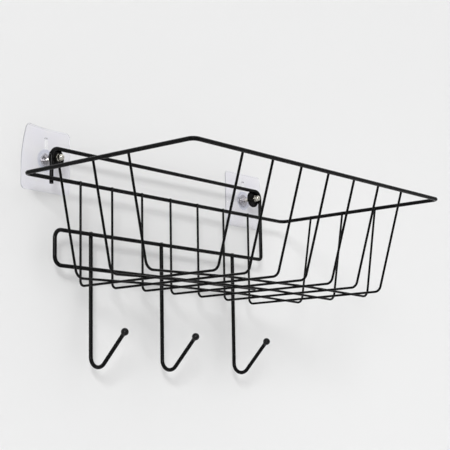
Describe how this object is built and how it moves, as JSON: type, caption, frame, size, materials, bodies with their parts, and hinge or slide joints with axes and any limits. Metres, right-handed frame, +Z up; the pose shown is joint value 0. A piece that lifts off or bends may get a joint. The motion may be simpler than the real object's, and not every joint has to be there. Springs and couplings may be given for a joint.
{
  "type": "shower caddy",
  "caption": "Wall-hung wire basket with a flared front and ends, on a bent-wire hanger frame with hooks below, clamped by cap nuts on studs in clear adhesive plates.",
  "frame": {"origin": "on the wall, midway between the axes of the two studs", "axes": "+X along the wall to the right as seen from the room, +Y into the wall, +Z up"},
  "size_m": [0.3838, 0.2219, 0.2221],
  "materials": {
    "black_coat": "satin black powder coat on steel wire",
    "black_ball": "glossy black moulded ball",
    "nickel_nut": "bright nickel plate",
    "zinc_stud": "bright zinc-plated steel thread",
    "clear_plate": "clear moulded plastic, faintly lavender at its edges",
    "clear_adhesive": "clear soft adhesive film"
  },
  "bodies": {
    "wall_fixings": {"adhesive_pad_left": "clear_adhesive", "adhesive_pad_right": "clear_adhesive", "adhesive_plate_left": "clear_plate", "adhesive_plate_right": "clear_plate", "stud_left": "zinc_stud", "stud_right": "zinc_stud"},
    "caddy": {"rim_wire": "black_coat", "cross_wire_1": "black_coat", "cross_wire_2": "black_coat", "cross_wire_3": "black_coat", "cross_wire_4": "black_coat", "cross_wire_5": "black_coat", "cross_wire_6": "black_coat", "cross_wire_7": "black_coat", "long_wire_back": "black_coat", "long_wire_middle": "black_coat", "long_wire_front": "black_coat", "hanger_frame": "black_coat", "hook_left": "black_coat", "hook_middle": "black_coat", "hook_right": "black_coat", "hanger_disc_left": "black_coat", "hanger_disc_right": "black_coat", "hook_ball_left": "black_ball", "hook_ball_middle": "black_ball", "hook_ball_right": "black_ball"},
    "cap_nut_left": {"cap_nut_left": "nickel_nut"},
    "cap_nut_right": {"cap_nut_right": "nickel_nut"}
  },
  "joints": [
    {"name": "caddy_pull_off", "type": "slide", "parent": "wall_fixings", "child": "caddy", "axis": [0, -1, 0], "range_m": [0, 0.01]},
    {"name": "cap_nut_left_turn", "type": "hinge", "parent": "caddy", "child": "cap_nut_left", "pos_m": [-0.146, -0.0165, 0], "axis": [0, -1, 0], "range_deg": [0, 2880]},
    {"name": "cap_nut_right_turn", "type": "hinge", "parent": "caddy", "child": "cap_nut_right", "pos_m": [0.146, -0.0165, 0], "axis": [0, -1, 0], "range_deg": [0, 2880]}
  ]
}
